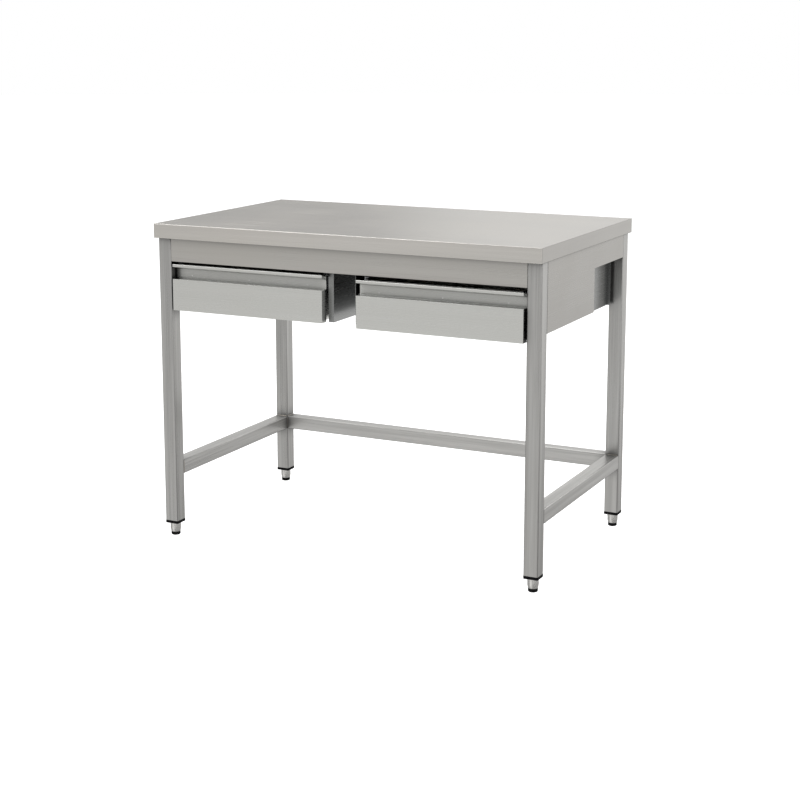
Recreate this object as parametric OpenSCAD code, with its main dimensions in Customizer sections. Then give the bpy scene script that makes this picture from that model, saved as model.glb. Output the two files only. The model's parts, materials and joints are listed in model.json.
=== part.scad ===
// Stainless work table with two drawers, a three-sided floor brace and
// levelling feet. The origin is on the floor at the middle of the table,
// +X to the right, +Y to the back and +Z up, in millimetres.

/* [Worktop] */
// Width of the worktop, left to right
top_w = 1150; // [1100:1:1400]
// Depth of the worktop, front to back
top_d = 700; // [680:1:760]
// Height of the working surface above the floor
table_h = 900; // [880:1:920]
// Height of the folded worktop edge
top_t = 40; // [40:1:45]
// Thickness of the worktop sheet
top_sheet = 1.5; // [1:0.1:2]
// Thickness of the board glued under the worktop sheet
core_t = 18; // [16:1:18]
// Worktop overhang past the legs, left and right
side_overhang = 5; // [2:1:10]
// Worktop overhang past the legs, front and back
front_overhang = 15; // [15:1:20]

/* [Frame] */
// Side of the square leg and brace tube
tube = 40; // [38:1:42]
// Wall of the square tube
tube_wall = 1.5; // [1.2:0.1:2]
// Outer corner radius of the square tube
tube_r = 3; // [2:0.5:4]
// Height of the aprons below the worktop
apron_h = 65; // [60:1:65]
// Height of the underside of the floor brace
brace_z = 177; // [120:1:220]
// Depth of the side covers below the side aprons
cover_drop = 120; // [80:1:125]
// Where the side covers end, measured back from the middle
cover_end = 55; // [0:1:100]
// Thickness of the apron, housing and drawer sheet
sheet = 1.2; // [1:0.1:1.2]

/* [Drawers] */
// Gap between the two drawer fronts
centre_gap = 108; // [96:1:120]
// Gap between each drawer front and its leg
leg_gap = 4; // [3:0.5:5]
// Gap between the apron and the drawer fronts
front_gap = 8; // [6:0.5:10]
// Height of the flat panel of a drawer front
panel_h = 88; // [80:1:88]
// Height of the finger recess above the panel
recess_h = 26; // [25:1:30]
// Depth of the finger recess
recess_d = 24; // [22:1:26]
// Height of the flared lip above the recess
lip_h = 15; // [12:1:15]
// Depth of the drawer trays
tray_d = 575; // [540:1:575]
// Height of the drawer trays
tray_h = 126; // [104:1:128]
// Length of the telescopic runners
runner_l = 500; // [480:1:500]
// How far the right drawer stands open at rest
right_open = 12; // [1:1:14]
// How much lower the right drawer hangs on its runners
right_drop = 3; // [0:0.5:4]

/* [Feet] */
// Height of the gap between the floor and the leg tubes
foot_h = 45; // [45:1:50]
// Outer diameter of the levelling sleeves
sleeve_d = 30; // [28:0.5:30]
// Diameter of the floor pads
pad_d = 26; // [24:0.5:27]
// Height of the floor pads
pad_h = 10; // [8:0.5:12]

/* [Hidden] */

$fn = 32;
cut = 1;                              // how far a cutting solid runs past a face

// Worktop and frame planes
top_under = table_h - top_t;          // underside of the folded worktop edge
top_return = 18;                      // width of the fold under the worktop edge
core_z = table_h - top_sheet - core_t; // underside of the board
bolt_r = 3;
hole_play = 0.1;                      // play around bolts and screws, on the radius
bolt_top = core_z + 8;                // how high the bolts reach into the board
frame_w = top_w - 2 * side_overhang;
frame_d = top_d - 2 * front_overhang;
leg_x = frame_w / 2;                  // outer side faces of the legs
leg_y = frame_d / 2;                  // outer front and rear faces of the legs
bay_x = leg_x - tube;                 // inner side faces of the legs
bay_y = leg_y - tube;                 // inner front and rear faces of the legs
foot_x = leg_x - tube / 2;
foot_y = leg_y - tube / 2;
apron_z = top_under - apron_h;        // underside of the aprons
apron_step = 1;                       // apron face behind the leg face
apron_fold = 15;                      // fold along the lower edge of an apron
apron_top_fold = 25;                  // fold that the worktop is bolted to
apron_bolt_in = 14;                   // apron bolts behind the apron face
apron_bolt_pitch = 360;

// Drawer planes, for the left drawer
front_y = -leg_y;                     // front face of the drawer fronts
front_top = apron_z - front_gap;
front_z = front_top - lip_h - recess_h - panel_h;
front_x0 = -(bay_x - leg_gap);
front_x1 = -centre_gap / 2;
lip_edge = 7.5;                       // upright hem along the lip
upstand_drop = 4;                     // top of the sheet behind the lip, below the lip
back_y = front_y + recess_d;          // back of the finger recess

// Housing planes, for the left housing
housing_y0 = back_y + 3;
housing_y1 = 280;
housing_z = front_z;
housing_top_fold = 22;
housing_fold = 12;
housing_bolt_pitch = 200;
inner_wall_x = -0.3 * centre_gap;     // outer face of the wall beside the centre gap
wall_flange = 16;                     // fold that shows beside the left drawer front
rear_flange = 9;                      // fold at the back of the outer wall

// Runner cross section, measured from the face that it is screwed to
rail_t = 1.3;                         // thickness of rail steel
rail_gap = 0.4;                       // clearance between rails
rail_w = 12.7;                        // runner thickness
rail_half = 22.5;                     // half of the outer rail's height
ball_d = 2.6;
ball_clear = 0.3;
middle_x = rail_t + rail_gap;
inner_x = middle_x + rail_t + rail_gap;
middle_half = rail_half - rail_t - ball_d - 2 * ball_clear;
inner_half = middle_half - rail_t - ball_d - 2 * ball_clear;
cage_x0 = inner_x + 0.8;              // edges of the ball strips
cage_x1 = rail_w - 2.4;
cage_l = 260;
cage_y0 = -180;
cage_balls = 5;

// Tray planes, for the left drawer
tray_x0 = -(bay_x - sheet - rail_w);
tray_x1 = front_x1 - 16;
tray_y0 = back_y + sheet;
tray_z = front_z + 1;
tray_rim = 3;                         // width of the hem along the top of the tray
tray_top = tray_z + tray_h;
screw_r = 2;
screw_rise = 8;                       // screws above the flat panel
bracket_x = tray_x1 + rail_w;         // face of the inner runner bracket
runner_y0 = -300;
runner_z = tray_top - 18;             // middle of the runners, close under the tray rim

// Foot planes
plug_flange = 8;
plug_insert = 43;
plug_web = 10;
sleeve_bore_r = sleeve_d / 2 + 0.3;
stem_r = 6;
stem_bore_r = stem_r + 0.08;
sleeve_top = foot_h + 22;
sleeve_taper_z = pad_h + 9;           // where the taper above the pad ends
stem_top = foot_h + plug_insert + 20;

steel = "lightgray";
rail_steel = "silver";
black = [0.05, 0.05, 0.05];

// Folded sheet sections: a path of outer corners, thickened to its right

function unit(v) = v / norm(v);
function right_of(v) = [v[1], -v[0]];
function side_at(p, i) = right_of(unit(p[i + 1] - p[i]));
function inner_corner(p, i, t) =
    i == 0 ? p[0] + t * side_at(p, 0)
    : i == len(p) - 1 ? p[i] + t * side_at(p, i - 1)
    : let (a = side_at(p, i - 1), b = side_at(p, i)) p[i] + t * (a + b) / (1 + a * b);
function folded(p, t) = concat(p, [for (i = [len(p) - 1:-1:0]) inner_corner(p, i, t)]);

// A section drawn in (Y, Z) and run from x0 to x1
module along_x(x0, x1) {
    translate([x0, 0, 0])
        rotate([90, 0, 90])
            linear_extrude(x1 - x0) children();
}

// A section drawn in (X, Z) and run from y0 to y1
module along_y(y0, y1) {
    translate([0, y1, 0])
        rotate([90, 0, 0])
            linear_extrude(y1 - y0) children();
}

module block(low, high) {
    translate(low) cube(high - low);
}

// The same piece on the right-hand side of the table
module mirrored() {
    mirror([1, 0, 0]) children();
}

// Where the right drawer's pieces rest: slightly open and slightly low
module right_at_rest(share) {
    translate([0, -share * right_open, -right_drop]) mirrored() children();
}

// Worktop

module worktop_skin() {
    color(steel)
    difference() {
        block([-top_w / 2, -top_d / 2, top_under], [top_w / 2, top_d / 2, table_h]);
        block([-top_w / 2 + top_sheet, -top_d / 2 + top_sheet, top_under + top_sheet],
              [top_w / 2 - top_sheet, top_d / 2 - top_sheet, table_h - top_sheet]);
        block([-top_w / 2 + top_return, -top_d / 2 + top_return, top_under - cut],
              [top_w / 2 - top_return, top_d / 2 - top_return, top_under + 2 * top_sheet]);
    }
}

module worktop_core() {
    edge = top_sheet + 0.5;
    color("burlywood")
    difference() {
        block([-top_w / 2 + edge, -top_d / 2 + edge, core_z],
              [top_w / 2 - edge, top_d / 2 - edge, table_h - top_sheet]);
        at_apron_bolts() bolt_hole(core_z - cut, bolt_top + 1);
        at_housing_bolts() bolt_hole(core_z - cut, bolt_top + 1);
    }
}

// Hat sections between the board and the aprons
module worktop_stiffeners() {
    reach = top_w / 2 - top_return - 12;
    spread = 150;
    crown = 50;
    brim = 16;
    low = top_under + 0.2;
    color(steel)
    for (y = [-spread, spread])
        along_x(-reach, reach)
            polygon(folded([[y - crown / 2 - brim, core_z - sheet], [y - crown / 2, core_z - sheet],
                            [y - crown / 2, low], [y + crown / 2, low],
                            [y + crown / 2, core_z - sheet],
                            [y + crown / 2 + brim, core_z - sheet]], -sheet));
}

// Where the aprons are bolted up into the board
module at_apron_bolts() {
    for (i = [-1:1], s = [-1, 1])
        translate([i * apron_bolt_pitch, s * (leg_y - apron_step - apron_bolt_in), 0]) children();
}

// Where the housing walls are bolted up into the board
module at_housing_bolts() {
    inset = housing_top_fold / 2 + 3;
    for (s = [-1, 1], x = [bay_x - inset, -inner_wall_x + inset], i = [-1:1])
        translate([s * x, i * housing_bolt_pitch, 0]) children();
}

module bolt_hole(z0, z1) {
    translate([0, 0, z0]) cylinder(h = z1 - z0, r = bolt_r + hole_play);
}

// Hex bolt with its head under the folds and its shank in the board
module top_bolt() {
    head_h = 4;
    head_d = 12;
    under = top_under - sheet;
    translate([0, 0, under - head_h]) cylinder(h = head_h, d = head_d, $fn = 6);
    translate([0, 0, under]) cylinder(h = bolt_top - under, r = bolt_r);
}

module worktop_bolts() {
    color(rail_steel) at_apron_bolts() top_bolt();
}

// Frame of square tube

module tube_section() {
    difference() {
        rounded_square(tube, tube_r);
        rounded_square(tube - 2 * tube_wall, tube_r - tube_wall);
    }
}

module rounded_square(side, r) {
    square([side - 2 * r, side], center = true);
    square([side, side - 2 * r], center = true);
    for (x = [-1, 1], y = [-1, 1])
        translate([x * (side / 2 - r), y * (side / 2 - r)]) circle(r);
}

module leg(sx, sy) {
    color(steel)
    translate([sx * foot_x, sy * foot_y, foot_h])
        linear_extrude(top_under - foot_h) tube_section();
}

module side_brace(sx) {
    color(steel)
    translate([sx * foot_x, bay_y, brace_z + tube / 2])
        rotate([90, 0, 0])
            linear_extrude(2 * bay_y) tube_section();
}

module brace_rear() {
    color(steel)
    translate([-bay_x, foot_y, brace_z + tube / 2])
        rotate([90, 0, 90])
            linear_extrude(2 * bay_x) tube_section();
}

// Apron with its face towards -Y
module apron() {
    y = -(leg_y - apron_step);
    along_x(-bay_x, bay_x)
        polygon(folded([[y + apron_fold, apron_z], [y, apron_z], [y, top_under],
                        [y + apron_top_fold, top_under]], sheet));
}

module front_apron() {
    color(steel)
    difference() {
        apron();
        at_apron_bolts() bolt_hole(top_under - apron_fold, top_under + cut);
    }
}

module rear_apron() {
    mirror([0, 1, 0]) front_apron();
}

// Left side sheet: apron along the top, deeper cover behind the front leg
module side_panel() {
    x = -leg_x;
    low = apron_z - cover_drop;
    color(steel)
    union() {
        block([x, -bay_y, apron_z], [x + sheet, bay_y, top_under]);
        block([x, -bay_y, low], [x + sheet, cover_end, apron_z + cut]);
        block([x, -bay_y, low], [x + apron_fold, cover_end, low + sheet]);
        block([x, cover_end - sheet, low], [x + apron_fold, cover_end, apron_z + cut]);
        block([x, cover_end - sheet, apron_z], [x + apron_fold, bay_y, apron_z + sheet]);
        block([x, -bay_y, top_under - sheet], [x + apron_top_fold, bay_y, top_under]);
    }
}

// Drawer housings, hung from the worktop

module housing_bolts() {
    color(rail_steel) at_housing_bolts() top_bolt();
}

module housing_wall_outer() {
    x = -bay_x;
    color(steel)
    difference() {
        union() {
            along_y(housing_y0, housing_y1)
                polygon(folded([[x + housing_fold, housing_z], [x, housing_z], [x, top_under],
                                [x + housing_top_fold, top_under]], sheet));
            block([x - rear_flange, housing_y1 - sheet, housing_z],
                  [x + sheet, housing_y1, apron_z - 2]);
        }
        at_housing_bolts() bolt_hole(top_under - housing_fold, top_under + cut);
    }
}

// The wall's flange towards the drawer is only on the left housing
module housing_wall_inner(flanged) {
    x = inner_wall_x;
    color(steel)
    difference() {
        union() {
            along_y(housing_y0, housing_y1)
                polygon(folded([[x - housing_top_fold, top_under], [x, top_under],
                                [x, housing_z], [x - housing_fold, housing_z]], sheet));
            if (flanged)
                block([x - wall_flange, housing_y0, housing_z],
                      [x, housing_y0 + sheet, top_under - sheet]);
        }
        at_housing_bolts() bolt_hole(top_under - housing_fold, top_under + cut);
    }
}

module housing_back() {
    x0 = -bay_x + sheet;
    x1 = inner_wall_x - sheet;
    color(steel)
    block([x0, housing_y1 - sheet, housing_z + sheet], [x1, housing_y1, top_under - sheet]);
}

// Channel that carries the runner beside the centre gap
module runner_bracket() {
    x = inner_wall_x - sheet;
    half = rail_half + 6;
    color(steel)
    along_y(runner_y0, runner_y0 + runner_l)
        polygon(folded([[x, runner_z + half], [bracket_x, runner_z + half],
                        [bracket_x, runner_z - half], [x, runner_z - half]], -sheet));
}

// Rubber stops behind the trays
module drawer_buffers() {
    inset = 60;
    reach = 12;
    color(black)
    for (side = [-1, 1], x = [tray_x0 + inset, tray_x1 - inset])
        translate([side * x, housing_y1 - sheet, tray_z + tray_h / 2])
            rotate([90, 0, 0]) cylinder(h = reach, r1 = 10, r2 = 8);
}

// Telescopic runners. A section is drawn with its screwed face at 0,
// towards +X, and placed on the housing wall or, turned, on the bracket.

module on_both_sides() {
    translate([-bay_x + sheet, 0, runner_z]) children();
    translate([bracket_x, 0, runner_z]) mirror([1, 0, 0]) children();
}

module rail(section, y0 = runner_y0, l = runner_l) {
    along_y(y0, y0 + l) polygon(folded(section, rail_t));
}

outer_section = [[rail_w - 0.7, -rail_half], [0, -rail_half], [0, rail_half],
                 [rail_w - 0.7, rail_half]];
middle_section = [[rail_w - 1.7, -middle_half], [middle_x, -middle_half],
                  [middle_x, middle_half], [rail_w - 1.7, middle_half]];
inner_section = [[inner_x, inner_half], [rail_w, inner_half], [rail_w, -inner_half],
                 [inner_x, -inner_half]];

module outer_rails() {
    color(rail_steel) on_both_sides() rail(outer_section);
}

module middle_rails() {
    color(rail_steel) on_both_sides() rail(middle_section);
}

module inner_rails() {
    color(rail_steel) on_both_sides() rail(inner_section);
}

// Ball strips above and below a rail whose flange face is at half
module ball_cages(half) {
    strip_t = 0.8;
    end = 10;
    pitch = (cage_l - 2 * end) / (cage_balls - 1);
    z = half + ball_clear + ball_d / 2;
    color("goldenrod")
    on_both_sides()
        for (s = [-1, 1]) {
            translate([cage_x0, cage_y0, s * z - strip_t / 2])
                cube([cage_x1 - cage_x0, cage_l, strip_t]);
            for (i = [0:cage_balls - 1])
                translate([(cage_x0 + cage_x1) / 2, cage_y0 + end + i * pitch, s * z])
                    sphere(d = ball_d);
        }
}

module ball_cages_outer() {
    ball_cages(middle_half);
}

module ball_cages_inner() {
    ball_cages(inner_half);
}

// Drawers

// A block standing in the left tray, set in from its outer faces
module in_tray(inset, z0, z1) {
    block([tray_x0 + inset, tray_y0 + inset, z0],
          [tray_x1 - inset, tray_y0 + tray_d - inset, z1]);
}

// Four walls with a hem turned inwards along their top
module drawer_tray() {
    color(steel)
    difference() {
        in_tray(0, tray_z, tray_top);
        in_tray(sheet, tray_z - cut, tray_top - sheet);
        in_tray(tray_rim, tray_top - 2 * sheet, tray_top + cut);
        at_front_screws() screw_hole();
    }
}

// Bottom sheet, welded in between the walls
module drawer_base() {
    color(steel) in_tray(sheet, tray_z, tray_z + sheet);
}

// Panel with its ends turned back, finger recess and a back that rises behind the lip
module drawer_front() {
    panel_top = front_z + panel_h;
    color(steel)
    difference() {
        union() {
            along_x(front_x0, front_x1)
                polygon(folded([[back_y, front_z], [front_y, front_z], [front_y, panel_top],
                                [back_y, panel_top], [back_y, front_top - upstand_drop]],
                               sheet));
            for (x = [front_x0, front_x1 - sheet])
                block([x, front_y, front_z], [x + sheet, back_y, panel_top]);
        }
        at_front_screws() screw_hole();
    }
}

// Lip flared towards the front, with an upright hem, welded to the back of the recess
module drawer_lip() {
    section = folded([[back_y, front_top - lip_h], [front_y, front_top - lip_edge],
                      [front_y, front_top]], sheet);
    color(steel)
    along_x(front_x0, front_x1)
        polygon([for (p = section) [min(p[0], back_y), p[1]]]);
}

// Screw axes through the front wall of the tray, each pointing to the front
module at_front_screws() {
    inset = 40;
    for (x = [tray_x0 + inset, (tray_x0 + tray_x1) / 2, tray_x1 - inset])
        translate([x, tray_y0 + sheet, front_z + panel_h + screw_rise])
            rotate([90, 0, 0]) children();
}

module screw_hole() {
    translate([0, 0, -cut]) cylinder(h = 2 * sheet + 2 * cut, r = screw_r + hole_play);
}

module front_screws() {
    head_h = 2;
    color(rail_steel)
    at_front_screws() {
        translate([0, 0, -head_h]) cylinder(h = head_h, r = 2 * screw_r);
        cylinder(h = 2 * sheet, r = screw_r);
    }
}

// Levelling feet

module leg_plugs() {
    insert = tube - 2 * tube_wall - 0.2;
    color(black)
    for (sx = [-1, 1], sy = [-1, 1])
        translate([sx * foot_x, sy * foot_y, foot_h])
            difference() {
                union() {
                    translate([0, 0, -plug_flange])
                        linear_extrude(plug_flange) rounded_square(tube + 1, tube_r);
                    linear_extrude(plug_insert) rounded_square(insert, tube_r - tube_wall);
                }
                translate([0, 0, -plug_flange - cut])
                    cylinder(h = plug_flange + plug_insert - plug_web + cut, r = sleeve_bore_r, $fn = 64);
                cylinder(h = plug_insert + cut, r = stem_bore_r, $fn = 64);
            }
}

module at_foot(sx, sy) {
    translate([sx * foot_x, sy * foot_y, 0]) children();
}

// Steel sleeve, tapered above the pad and hollow around the stem
module foot_sleeve() {
    r = sleeve_d / 2;
    floor_t = 3;
    color(rail_steel)
    rotate_extrude($fn = 64)
        polygon([[stem_r, pad_h], [pad_d / 2, pad_h], [r, sleeve_taper_z], [r, sleeve_top],
                 [r - 2, sleeve_top], [r - 2, sleeve_taper_z + floor_t],
                 [stem_r, sleeve_taper_z + floor_t]]);
}

module foot_stem() {
    color(rail_steel)
    translate([0, 0, pad_h]) cylinder(h = stem_top - pad_h, r = stem_r, $fn = 64);
}

module foot_pad() {
    r = pad_d / 2;
    edge = 3;
    color(black)
    rotate_extrude($fn = 64)
        union() {
            square([r - edge, pad_h]);
            translate([0, edge]) square([r, pad_h - edge]);
            translate([r - edge, edge]) intersection() {
                circle(edge);
                translate([0, -edge]) square(edge);
            }
        }
}

worktop_skin();
worktop_core();
worktop_stiffeners();
worktop_bolts();
leg(-1, -1);  // leg_front_left
leg(1, -1);  // leg_front_right
leg(-1, 1);  // leg_rear_left
leg(1, 1);  // leg_rear_right
front_apron();
rear_apron();
side_panel();  // side_panel_left
mirrored() side_panel();  // side_panel_right
side_brace(-1);  // brace_left
side_brace(1);  // brace_right
brace_rear();
leg_plugs();
housing_wall_outer();  // housing_wall_outer_left
mirrored() housing_wall_outer();  // housing_wall_outer_right
housing_wall_inner(true);  // housing_wall_inner_left
mirrored() housing_wall_inner(false);  // housing_wall_inner_right
housing_back();  // housing_back_left
mirrored() housing_back();  // housing_back_right
housing_bolts();
runner_bracket();  // runner_bracket_left
mirrored() runner_bracket();  // runner_bracket_right
drawer_buffers();
outer_rails();  // outer_rails_left
right_at_rest(0) outer_rails();  // outer_rails_right
ball_cages_outer();  // ball_cages_outer_left
right_at_rest(0.25) ball_cages_outer();  // ball_cages_outer_right
middle_rails();  // middle_rails_left
right_at_rest(0.5) middle_rails();  // middle_rails_right
ball_cages_inner();  // ball_cages_inner_left
right_at_rest(0.75) ball_cages_inner();  // ball_cages_inner_right
inner_rails();  // inner_rails_left
right_at_rest(1) inner_rails();  // inner_rails_right
drawer_tray();  // drawer_tray_left
right_at_rest(1) drawer_tray();  // drawer_tray_right
drawer_base();  // drawer_base_left
right_at_rest(1) drawer_base();  // drawer_base_right
drawer_front();  // drawer_front_left
right_at_rest(1) drawer_front();  // drawer_front_right
drawer_lip();  // drawer_lip_left
right_at_rest(1) drawer_lip();  // drawer_lip_right
front_screws();  // front_screws_left
right_at_rest(1) front_screws();  // front_screws_right
at_foot(-1, -1) foot_sleeve();  // foot_sleeve_front_left
at_foot(1, -1) foot_sleeve();  // foot_sleeve_front_right
at_foot(-1, 1) foot_sleeve();  // foot_sleeve_rear_left
at_foot(1, 1) foot_sleeve();  // foot_sleeve_rear_right
at_foot(-1, -1) foot_stem();  // foot_stem_front_left
at_foot(1, -1) foot_stem();  // foot_stem_front_right
at_foot(-1, 1) foot_stem();  // foot_stem_rear_left
at_foot(1, 1) foot_stem();  // foot_stem_rear_right
at_foot(-1, -1) foot_pad();  // foot_pad_front_left
at_foot(1, -1) foot_pad();  // foot_pad_front_right
at_foot(-1, 1) foot_pad();  // foot_pad_rear_left
at_foot(1, 1) foot_pad();  // foot_pad_rear_right
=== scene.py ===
import json
import math

import bpy
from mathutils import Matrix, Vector


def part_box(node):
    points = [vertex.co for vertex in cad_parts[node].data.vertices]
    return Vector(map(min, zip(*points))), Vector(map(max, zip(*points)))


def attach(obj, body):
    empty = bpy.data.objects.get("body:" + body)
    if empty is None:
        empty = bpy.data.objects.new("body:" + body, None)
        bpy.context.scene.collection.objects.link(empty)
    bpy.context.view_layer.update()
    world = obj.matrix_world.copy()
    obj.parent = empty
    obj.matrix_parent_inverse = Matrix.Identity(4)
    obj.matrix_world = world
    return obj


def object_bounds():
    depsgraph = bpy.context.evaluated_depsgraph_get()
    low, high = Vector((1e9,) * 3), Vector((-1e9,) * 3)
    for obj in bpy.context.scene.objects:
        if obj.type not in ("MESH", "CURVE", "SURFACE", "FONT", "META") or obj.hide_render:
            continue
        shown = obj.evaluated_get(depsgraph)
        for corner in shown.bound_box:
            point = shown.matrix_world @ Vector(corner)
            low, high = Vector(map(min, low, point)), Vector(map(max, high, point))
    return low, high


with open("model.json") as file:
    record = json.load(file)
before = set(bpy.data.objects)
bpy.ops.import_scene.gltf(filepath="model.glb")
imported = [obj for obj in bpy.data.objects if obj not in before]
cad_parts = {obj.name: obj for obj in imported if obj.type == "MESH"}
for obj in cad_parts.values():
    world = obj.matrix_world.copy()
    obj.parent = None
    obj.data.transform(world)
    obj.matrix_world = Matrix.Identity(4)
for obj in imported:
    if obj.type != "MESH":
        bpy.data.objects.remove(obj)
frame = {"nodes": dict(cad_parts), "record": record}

cad_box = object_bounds()
nodes = frame["nodes"]
record = frame["record"]
MM = 0.001
MICRON = 0.000001

# ---------------------------------------------------------------- camera

CAMERA_AT = (2.023, -4.098, 1.447)
CAMERA_YAW = 26.13
CAMERA_PITCH = 10.29
CAMERA_LENS = 73.77
CAMERA_SHIFT = -0.10
SENSOR_WIDTH = 36.0


def make_camera():
    """The photograph's view: from the right front, a little above the worktop."""
    data = bpy.data.cameras.new("camera")
    data.sensor_width = SENSOR_WIDTH
    data.lens = CAMERA_LENS
    data.shift_y = CAMERA_SHIFT
    camera = bpy.data.objects.new("camera", data)
    camera.location = CAMERA_AT
    turn = (90 - CAMERA_PITCH, 0, CAMERA_YAW)
    camera.rotation_euler = [math.radians(a) for a in turn]
    bpy.context.scene.collection.objects.link(camera)
    bpy.context.scene.camera = camera


# ---------------------------------------------------------------- node helpers

# The Mix node's sockets for vectors and for colours: the two inputs, then the output
MIX_VECTOR = (4, 5, 1)
MIX_COLOR = (6, 7, 2)


class Shader:
    """A material's node tree with short calls for the nodes used here."""

    def __init__(self, name):
        self.material = bpy.data.materials.new(name)
        self.material.use_nodes = True
        self.tree = self.material.node_tree
        self.bsdf = self.tree.nodes["Principled BSDF"]
        self.coords = self.tree.nodes.new("ShaderNodeTexCoord")

    def add(self, kind, **settings):
        made = self.tree.nodes.new(kind)
        for key, value in settings.items():
            setattr(made, key, value)
        return made

    def link(self, source, target):
        self.tree.links.new(source, target)

    def constant(self, **values):
        for key, value in values.items():
            self.bsdf.inputs[key.replace("_", " ")].default_value = value

    def stretched(self, scale, vector=None):
        """Object coordinates, in metres, scaled along each axis."""
        mapping = self.add("ShaderNodeMapping")
        mapping.inputs["Scale"].default_value = scale
        self.link(vector or self.coords.outputs["Object"], mapping.inputs["Vector"])
        return mapping.outputs["Vector"]

    def noise(self, vector, scale=1.0, detail=4.0, rough=0.55):
        made = self.add("ShaderNodeTexNoise")
        made.inputs["Scale"].default_value = scale
        made.inputs["Detail"].default_value = detail
        made.inputs["Roughness"].default_value = rough
        self.link(vector, made.inputs["Vector"])
        return made.outputs["Fac"]

    def spread(self, value, low, high, from_low=0.3, from_high=0.7):
        made = self.add("ShaderNodeMapRange")
        made.inputs["From Min"].default_value = from_low
        made.inputs["From Max"].default_value = from_high
        made.inputs["To Min"].default_value = low
        made.inputs["To Max"].default_value = high
        self.link(value, made.inputs["Value"])
        return made.outputs["Result"]

    def math(self, operation, a, b):
        made = self.add("ShaderNodeMath", operation=operation)
        for socket, value in zip(made.inputs, (a, b)):
            if isinstance(value, (int, float)):
                socket.default_value = value
            else:
                self.link(value, socket)
        return made.outputs["Value"]

    def mix_color(self, factor, a, b):
        made = self.add("ShaderNodeMix", data_type="RGBA")
        self.link(factor, made.inputs["Factor"])
        first, second, result = MIX_COLOR
        for socket, value in ((made.inputs[first], a), (made.inputs[second], b)):
            if isinstance(value, tuple):
                socket.default_value = (*value, 1.0)
            else:
                self.link(value, socket)
        return made.outputs[result]

    def painted_shade_mask(self, reach, closed):
        """A mask for painted shade: 1 on open faces, falling to 0 in gaps and inner corners."""
        made = self.add("ShaderNodeAmbientOcclusion", samples=8)
        made.inputs["Distance"].default_value = reach
        return self.spread(made.outputs["AO"], 0.0, 1.0, closed, 0.95)

    def clear_from_behind(self):
        """Back faces let the view through, so a floor doesn't hide what stands on it."""
        behind = self.add("ShaderNodeNewGeometry").outputs["Backfacing"]
        mixed = self.add("ShaderNodeMixShader")
        self.link(behind, mixed.inputs["Fac"])
        self.link(self.bsdf.outputs["BSDF"], mixed.inputs[1])
        self.link(self.add("ShaderNodeBsdfTransparent").outputs["BSDF"], mixed.inputs[2])
        self.link(mixed.outputs["Shader"], self.tree.nodes["Material Output"].inputs["Surface"])

    def bump(self, height, distance, strength=1.0, bend=0.0):
        """Surface relief, on edges rounded to a sheet's bend radius where one is given."""
        made = self.add("ShaderNodeBump")
        made.inputs["Strength"].default_value = strength
        made.inputs["Distance"].default_value = distance
        self.link(height, made.inputs["Height"])
        if bend:
            rounded = self.add("ShaderNodeBevel", samples=6)
            rounded.inputs["Radius"].default_value = bend
            self.link(rounded.outputs["Normal"], made.inputs["Normal"])
        self.link(made.outputs["Normal"], self.bsdf.inputs["Normal"])


AXES = "XYZ"

# A face counts as square to an axis when its normal goes at least this far along it
SQUARE_ON = 0.7


def grain_scale(axis, along, across):
    """A texture's scale along one axis and across it."""
    return tuple(along if a == axis else across for a in AXES)


def end_faces(shader, axis):
    """1 on the faces square to axis, 0 on the others."""
    split = shader.add("ShaderNodeSeparateXYZ")
    shader.link(shader.coords.outputs["Normal"], split.inputs["Vector"])
    facing = shader.math("ABSOLUTE", split.outputs[axis], 0)
    return shader.math("GREATER_THAN", facing, SQUARE_ON)


def grain_vector(shader, axis, other, along, across):
    """Coordinates drawn out along axis, or along other on faces square to axis."""
    main = shader.stretched(grain_scale(axis, along, across))
    turned = shader.stretched(grain_scale(other, along, across))
    made = shader.add("ShaderNodeMix", data_type="VECTOR")
    shader.link(end_faces(shader, axis), made.inputs["Factor"])
    first, second, result = MIX_VECTOR
    shader.link(main, made.inputs[first])
    shader.link(turned, made.inputs[second])
    return made.outputs[result]


# ---------------------------------------------------------------- materials

# Painted shade: steel is darkened in corners, gaps and recesses, where shade falls: how far the mask
# reaches, how dark the shaded tone is, and how closed a gap is darkest
PAINTED_CREASE_SHADE = (35 * MM, 0.35, 0.25)

# The grain's noise per metre, along and across it, and the part of the noise that is used
FINE_GRAIN = (6.0, 1400.0)
BROAD_STREAKS = (1.3, 90.0)
GRAIN_RANGE = (0.35, 0.65)
FINE_SHARE = 0.45
CLOUDS = (2.2, 2.2, 2.2)
WARM_CAST = (1.0, 0.975, 0.94)


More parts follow.
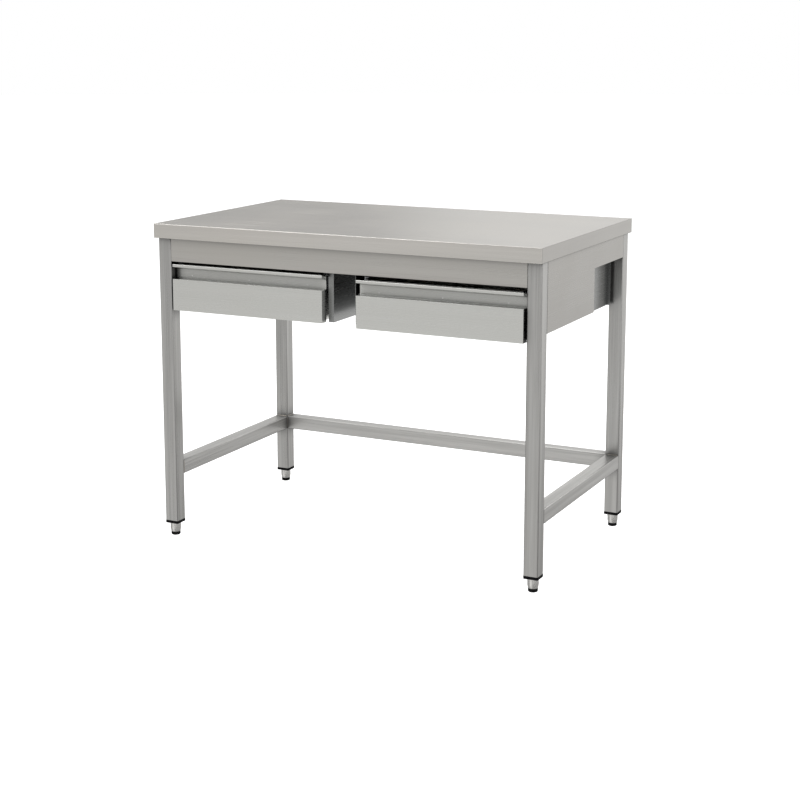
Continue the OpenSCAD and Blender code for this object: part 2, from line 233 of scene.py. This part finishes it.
def brushed_steel(name, tone, axis, other, rough=0.30, contrast=0.10, cloud=0.08,
                  painted_shade=PAINTED_CREASE_SHADE, end_shade=1.0, bend=0.0):
    """Satin stainless sheet: fine drawn grain, broad streaks and faint clouding, with painted shade
    in gaps and corners.
    """
    s = Shader(name)
    reach, shaded_dim, closed = painted_shade
    fine = s.noise(grain_vector(s, axis, other, *FINE_GRAIN), detail=3.0)
    streak = s.noise(grain_vector(s, axis, other, *BROAD_STREAKS), detail=5.0)
    clouds = s.noise(s.stretched(CLOUDS), detail=3.0, rough=0.6)
    mixed = s.math("ADD", s.math("MULTIPLY", fine, FINE_SHARE),
                   s.math("MULTIPLY", streak, 1 - FINE_SHARE))
    shade = s.spread(mixed, 0.0, 1.0, *GRAIN_RANGE)
    dark = tuple(c * (1 - contrast) for c in tone)
    light = tuple(min(1.0, c * (1 + contrast * 0.5)) for c in tone)
    grained = s.mix_color(shade, dark, light)
    warm = tuple(c * f for c, f in zip(tone, WARM_CAST))
    clouded = s.mix_color(s.spread(clouds, 0.0, cloud * 6), grained, warm)
    # Painted shade: the tone falls to the shaded tone in gaps, corners and recesses
    base = s.mix_color(s.painted_shade_mask(reach, closed), tuple(c * shaded_dim for c in tone), clouded)
    # Painted shade: faces square to the grain, such as the worktop's ends, are given a darker tone
    if end_shade != 1:
        base = s.mix_color(end_faces(s, axis), base, tuple(c * end_shade for c in tone))
    s.link(base, s.bsdf.inputs["Base Color"])
    uneven = s.math("ADD", s.spread(mixed, rough * 0.85, rough * 1.15, *GRAIN_RANGE),
                    s.spread(clouds, -0.03, 0.04))
    s.link(uneven, s.bsdf.inputs["Roughness"])
    s.constant(Metallic=1.0)
    s.bump(fine, 25 * MICRON, 0.5, bend)
    return s.material


def plated_steel(name, tone, rough):
    """Zinc plating or turned stainless: even, with a faint mottle and fine scratches."""
    s = Shader(name)
    mottle = s.noise(s.stretched((60, 60, 60)), detail=5.0)
    scratch = s.noise(s.stretched((30, 700, 700)), detail=2.0)
    dark = tuple(c * 0.85 for c in tone)
    s.link(s.mix_color(s.spread(mottle, 0.0, 1.0), dark, tone), s.bsdf.inputs["Base Color"])
    s.link(s.spread(scratch, rough * 0.8, rough * 1.3), s.bsdf.inputs["Roughness"])
    s.constant(Metallic=1.0)
    s.bump(scratch, 30 * MICRON, 0.5)
    return s.material


def moulded_plastic(name, tone, rough, grit):
    """Black plastic or rubber with a fine moulded texture and slight scuffing."""
    s = Shader(name)
    texture = s.noise(s.stretched((900, 900, 900)), detail=3.0)
    scuff = s.noise(s.stretched((70, 70, 70)), detail=6.0, rough=0.7)
    worn = tuple(c * 2.2 for c in tone)
    scuffed = s.spread(scuff, 0.0, 0.6, 0.5, 0.75)
    s.link(s.mix_color(scuffed, tone, worn), s.bsdf.inputs["Base Color"])
    s.link(s.spread(scuff, rough * 0.9, rough * 1.2), s.bsdf.inputs["Roughness"])
    s.constant(Specular_IOR_Level=0.03)
    s.bump(texture, grit, 0.6)
    return s.material


def chipboard(name):
    """Raw board: pressed chips of several browns."""
    s = Shader(name)
    chips = s.add("ShaderNodeTexVoronoi", feature="F1")
    chips.inputs["Scale"].default_value = 1.0
    s.link(s.stretched((160, 260, 200)), chips.inputs["Vector"])
    tone = s.add("ShaderNodeSeparateColor")
    s.link(chips.outputs["Color"], tone.inputs["Color"])
    fibre = s.noise(s.stretched((300, 1200, 300)), detail=4.0)
    both = s.math("ADD", s.math("MULTIPLY", tone.outputs[0], 0.6), s.math("MULTIPLY", fibre, 0.4))
    s.link(s.mix_color(both, (0.30, 0.20, 0.11), (0.62, 0.47, 0.30)), s.bsdf.inputs["Base Color"])
    s.link(s.spread(fibre, 0.65, 0.9), s.bsdf.inputs["Roughness"])
    s.bump(chips.outputs["Distance"], 400 * MICRON, 0.5)
    return s.material


def weld_metal(name):
    """Brushed-down weld: a little darker than the sheet, with a heat tint."""
    s = Shader(name)
    ripple = s.noise(s.stretched((500, 500, 500)), detail=3.0)
    tint = s.noise(s.stretched((80, 80, 80)), detail=2.0)
    base = s.mix_color(s.spread(tint, 0.0, 1.0), (0.42, 0.40, 0.38), (0.50, 0.46, 0.40))
    s.link(base, s.bsdf.inputs["Base Color"])
    s.link(s.spread(ripple, 0.32, 0.5), s.bsdf.inputs["Roughness"])
    s.constant(Metallic=1.0)
    s.bump(ripple, 200 * MICRON, 0.6)
    return s.material


# The legs and braces are the same tube given different tones for how each is lit: the braces'
# lighter tone is painted light
TUBE_TONE = (0.455, 0.454, 0.447)
BRACE_TONE = (0.54, 0.538, 0.53)
# Painted shade on the tubes: darker near joints and under the worktop's edge
TUBE_PAINTED_CREASE_SHADE = (40 * MM, 0.25, 0.42)


def tube_steel(name, tone, axis, other, rough):
    """Square tube: a stronger grain than the sheet's, less clouding, and its own painted shade at
    joints and corners.
    """
    return brushed_steel(name, tone, axis, other, rough, 0.35, 0.03, TUBE_PAINTED_CREASE_SHADE)


def slot_materials():
    """One finish for each material slot of the record."""
    return {
        "worktop_stainless": brushed_steel("worktop_stainless", (0.61, 0.595, 0.57), "X", "Y", 0.22,
                                           end_shade=0.57, bend=2.0 * MM),
        "panel_stainless": brushed_steel("panel_stainless", (0.50, 0.49, 0.47), "X", "Y", 0.30),
        "drawer_stainless": brushed_steel("drawer_stainless", (0.61, 0.615, 0.598), "X", "Y", 0.28,
                                          0.05, 0.05),
        "tube_stainless": tube_steel("tube_stainless", TUBE_TONE, "Z", "X", 0.30),
        # The housing's painted shade reaches further, 60 mm, into the gaps beside the drawers
        "housing_steel": brushed_steel("housing_steel", (0.31, 0.317, 0.318), "Y", "X", 0.26,
                                       painted_shade=(60 * MM, 0.3, 0.35)),
        "foot_steel": plated_steel("foot_steel", (0.74, 0.735, 0.72), 0.28),
        "runner_steel": plated_steel("runner_steel", (0.62, 0.63, 0.65), 0.30),
        "cage_steel": plated_steel("cage_steel", (0.50, 0.50, 0.51), 0.35),
        "fastener_steel": plated_steel("fastener_steel", (0.60, 0.60, 0.60), 0.30),
        "board": chipboard("board"),
        "black_plastic": moulded_plastic("black_plastic", (0.004, 0.004, 0.0045), 0.42, 30 * MICRON),
        "black_rubber": moulded_plastic("black_rubber", (0.006, 0.006, 0.006), 0.6, 60 * MICRON),
    }


# Sheets whose grain doesn't run along X
GRAIN_ALONG_Y = ("side_panel", "brace_left", "brace_right")


def dress_cad_nodes(materials):
    """Every CAD node gets its slot's finish and softened edges."""
    # The side panels' copy of the sheet has a darker tone than the front and rear sheet: painted
    # shade for how the sides are lit
    along_y = {
        "panel_stainless": brushed_steel("panel_stainless_y", (0.38, 0.373, 0.36), "Y", "X", 0.30,
                                         0.07),
        "tube_stainless": tube_steel("tube_stainless_y", BRACE_TONE, "Y", "X", 0.32),
    }
    along_x = {
        "tube_stainless": tube_steel("tube_stainless_x", BRACE_TONE, "X", "Y", 0.32),
    }
    for part in record["subparts"]:
        name, slot = part["node"], part["material_slot"]
        chosen = materials[slot]
        if name.startswith(GRAIN_ALONG_Y):
            chosen = along_y[slot]
        elif name == "brace_rear":
            chosen = along_x[slot]
        mesh = nodes[name].data
        mesh.materials.clear()
        mesh.materials.append(chosen)
        soften(nodes[name])


# Radius of the softened edges by kind of piece, in millimetres, and for all the others
EDGE_RADII = {
    "worktop_skin": 1.4,
    "drawer_front": 0.5,
    "drawer_lip": 0.5,
    "drawer_tray": 0.4,
    "front_apron": 0.5,
    "side_panel": 0.5,
    "leg_plugs": 0.8,
    "foot_sleeve": 0.6,
}
PLAIN_EDGE = 0.3
SHARP_ANGLE = math.radians(35)
FLAT_ANGLE = math.radians(0.3)
SAME_POINT = 10 * MICRON


def soften(piece):
    """Joins each flat face's triangles, then rounds the sharp edges as bends and cut edges are."""
    if piece.name.startswith("ball_cages"):
        return
    radius = next((r for k, r in EDGE_RADII.items() if piece.name.startswith(k)), PLAIN_EDGE)
    weld = piece.modifiers.new("weld", "WELD")
    weld.merge_threshold = SAME_POINT
    flat = piece.modifiers.new("flat_faces", "DECIMATE")
    flat.decimate_type = "DISSOLVE"
    flat.angle_limit = FLAT_ANGLE
    bevel = piece.modifiers.new("soft_edges", "BEVEL")
    bevel.width = radius * MM
    bevel.segments = 2 if radius < 1 else 3
    bevel.limit_method = "ANGLE"
    bevel.angle_limit = SHARP_ANGLE
    bevel.use_clamp_overlap = True


# ---------------------------------------------------------------- welds

BEAD_RADIUS = 1.1 * MM
BEAD_STEP = 1.6 * MM
BEAD_INSET = 3 * MM


def bead_mesh(name, points, radius, sides=8):
    """A rippled bead along a line of points."""
    verts, faces = [], []
    for i, p in enumerate(points):
        ahead = points[min(i + 1, len(points) - 1)] - points[max(i - 1, 0)]
        ahead.normalize()
        side = ahead.orthogonal().normalized()
        up = ahead.cross(side)
        ripple = 1 + 0.18 * math.sin(i * math.pi / 1.5)
        end = 0.25 if i in (0, len(points) - 1) else 1
        for k in range(sides):
            a = 2 * math.pi * k / sides
            verts.append(p + (side * math.cos(a) + up * math.sin(a)) * radius * ripple * end)
    for i in range(len(points) - 1):
        for k in range(sides):
            a, b = i * sides + k, i * sides + (k + 1) % sides
            faces.append((a, b, b + sides, a + sides))
    faces.append(tuple(range(sides - 1, -1, -1)))
    faces.append(tuple(range(len(verts) - sides, len(verts))))
    mesh = bpy.data.meshes.new(name)
    mesh.from_pydata(verts, [], faces)
    for face in mesh.polygons:
        face.use_smooth = True
    piece = bpy.data.objects.new(name, mesh)
    bpy.context.scene.collection.objects.link(piece)
    return piece


def line(a, b, step):
    """Points from a to b, about a step apart."""
    count = max(2, round((b - a).length / step))
    return [a.lerp(b, i / count) for i in range(count + 1)]


def weld_bead(name, a, b, material):
    """One bead of weld from a to b, part of the frame."""
    bead = bead_mesh(name, line(Vector(a), Vector(b), BEAD_STEP), BEAD_RADIUS)
    bead.data.materials.append(material)
    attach(bead, "frame")


def brace_welds(material):
    """Beads above, below and inside each brace end. The outer face is ground flush."""
    inset = BEAD_INSET
    for side in ("left", "right"):
        low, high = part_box(f"brace_{side}")
        inner = high.x if side == "left" else low.x
        for end, y in (("front", low.y), ("rear", high.y)):
            for where, z in (("top", high.z), ("under", low.z)):
                weld_bead(f"weld_{where}_{side}_{end}", (low.x + inset, y, z),
                          (high.x - inset, y, z), material)
            weld_bead(f"weld_inside_{side}_{end}", (inner, y, low.z + inset),
                      (inner, y, high.z - inset), material)
    low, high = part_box("brace_rear")
    for side, x in (("left", low.x), ("right", high.x)):
        for where, z in (("top", high.z), ("under", low.z)):
            weld_bead(f"weld_{where}_rear_{side}", (x, low.y + inset, z),
                      (x, high.y - inset, z), material)
        weld_bead(f"weld_inside_rear_{side}", (x, low.y, low.z + inset),
                  (x, low.y, high.z - inset), material)


# ---------------------------------------------------------------- studio

FLOOR_RADIUS = 30.0
FLOOR_SIDES = 96


def foot_travel():
    """How far a foot goes down from where it rests."""
    joints = record["behaviour"]["joints"]
    return max(j["range_m"][1] for j in joints if j["name"].endswith("_foot_height"))


def make_floor():
    """A pale floor that fades into the white surround, clear of the feet at their lowest."""
    level = cad_box[0].z - foot_travel()
    ring = [(FLOOR_RADIUS * math.cos(2 * math.pi * i / FLOOR_SIDES),
             FLOOR_RADIUS * math.sin(2 * math.pi * i / FLOOR_SIDES), level)
            for i in range(FLOOR_SIDES)]
    mesh = bpy.data.meshes.new("floor")
    mesh.from_pydata(ring, [], [tuple(range(FLOOR_SIDES))])
    floor = bpy.data.objects.new("floor", mesh)
    bpy.context.scene.collection.objects.link(floor)
    s = Shader("pale_floor")
    mottle = s.noise(s.stretched((1.5, 1.5, 1.5)), detail=3.0)
    s.link(s.mix_color(s.spread(mottle, 0.0, 1.0), (0.90, 0.90, 0.90), (0.92, 0.92, 0.915)),
           s.bsdf.inputs["Base Color"])
    s.constant(Roughness=0.9, Emission_Color=(1, 1, 1, 1), Emission_Strength=0.35)
    s.clear_from_behind()
    mesh.materials.append(s.material)
    floor.visible_glossy = False


# Brightness of the studio as the steel mirrors it: height of the ray, then brightness
STUDIO_BY_HEIGHT = ((-1.0, 0.40), (-0.35, 0.45), (-0.14, 0.70), (-0.02, 0.68), (0.06, 0.50),
                    (0.13, 0.42), (0.35, 0.95), (1.0, 1.1))

# Soft white panels in the reflections: direction, half angles of core and edge, brightness
PANELS = (
    ((-0.33, 0.935, 0.13), 3, 9, 0.33),
    ((-0.40, -0.78, -0.60), 8, 30, 0.60),
    ((0.45, 0.88, 0.10), 10, 28, 0.45),
    ((0.45, -0.87, -0.10), 8, 24, 0.45),
)
STUDIO_TINT = (1.0, 0.992, 0.975)


def make_world():
    """Plain white to the eye, and a soft grey studio in the reflections."""
    world = bpy.data.worlds.new("studio")
    bpy.context.scene.world = world
    world.use_nodes = True
    tree = world.node_tree
    add, link = tree.nodes.new, tree.links.new
    seen = tree.nodes["Background"]
    seen.inputs["Color"].default_value = (1, 1, 1, 1)
    mirrored = add("ShaderNodeBackground")
    mirrored.inputs["Color"].default_value = (*STUDIO_TINT, 1)
    coords, split = add("ShaderNodeTexCoord"), add("ShaderNodeSeparateXYZ")
    link(coords.outputs["Generated"], split.inputs["Vector"])

    def ranged(value, low, high, to_low, to_high, smooth=False):
        made = add("ShaderNodeMapRange")
        if smooth:
            made.interpolation_type = "SMOOTHSTEP"
        for socket, number in zip(made.inputs[1:5], (low, high, to_low, to_high)):
            socket.default_value = number
        link(value, made.inputs["Value"])
        return made.outputs["Result"]

    ramp = add("ShaderNodeFloatCurve")
    curve = ramp.mapping.curves[0]
    points = [((z + 1) / 2, bright) for z, bright in STUDIO_BY_HEIGHT]
    for point, place in zip((curve.points[0], curve.points[-1]), (points[0], points[-1])):
        point.location = place
    for place in points[1:-1]:
        curve.points.new(*place)
    ramp.mapping.update()
    link(ranged(split.outputs["Z"], -1, 1, 0, 1), ramp.inputs["Value"])
    total = ramp.outputs["Value"]
    for direction, core, edge, bright in PANELS:
        dot = add("ShaderNodeVectorMath")
        dot.operation = "DOT_PRODUCT"
        link(coords.outputs["Generated"], dot.inputs[0])
        dot.inputs[1].default_value = Vector(direction).normalized()
        panel = ranged(dot.outputs["Value"], math.cos(math.radians(edge)),
                       math.cos(math.radians(core)), 0, bright, smooth=True)
        plus = add("ShaderNodeMath")
        plus.operation = "ADD"
        link(total, plus.inputs[0])
        link(panel, plus.inputs[1])
        total = plus.outputs["Value"]
    link(total, mirrored.inputs["Strength"])
    path, mix = add("ShaderNodeLightPath"), add("ShaderNodeMixShader")
    link(path.outputs["Is Glossy Ray"], mix.inputs["Fac"])
    link(seen.outputs["Background"], mix.inputs[1])
    link(mirrored.outputs["Background"], mix.inputs[2])
    link(mix.outputs["Shader"], tree.nodes["World Output"].inputs["Surface"])


def softbox(name, at, target, size, power):
    """A soft white light aimed at a point of the table."""
    data = bpy.data.lights.new(name, "AREA")
    data.shape = "RECTANGLE"
    data.size, data.size_y = size
    data.energy = power
    light = bpy.data.objects.new(name, data)
    light.location = at
    light.rotation_euler = (Vector(target) - Vector(at)).to_track_quat("-Z", "Y").to_euler()
    bpy.context.scene.collection.objects.link(light)


def make_lights():
    """Three softboxes: front left, front right and above the rear."""
    softbox("key", (-2.6, -3.4, 3.6), (0, 0, 0.5), (2.4, 2.4), 65)
    softbox("fill", (3.0, -1.7, 3.4), (0, 0, 0.6), (2.0, 2.4), 45)
    softbox("top", (0.4, 1.4, 3.8), (0, 0, 0.6), (3.0, 2.0), 50)


# ---------------------------------------------------------------- build

make_camera()
bpy.context.scene.view_settings.view_transform = "Standard"
materials = slot_materials()
dress_cad_nodes(materials)
brace_welds(weld_metal("weld_metal"))
make_floor()
make_world()
make_lights()
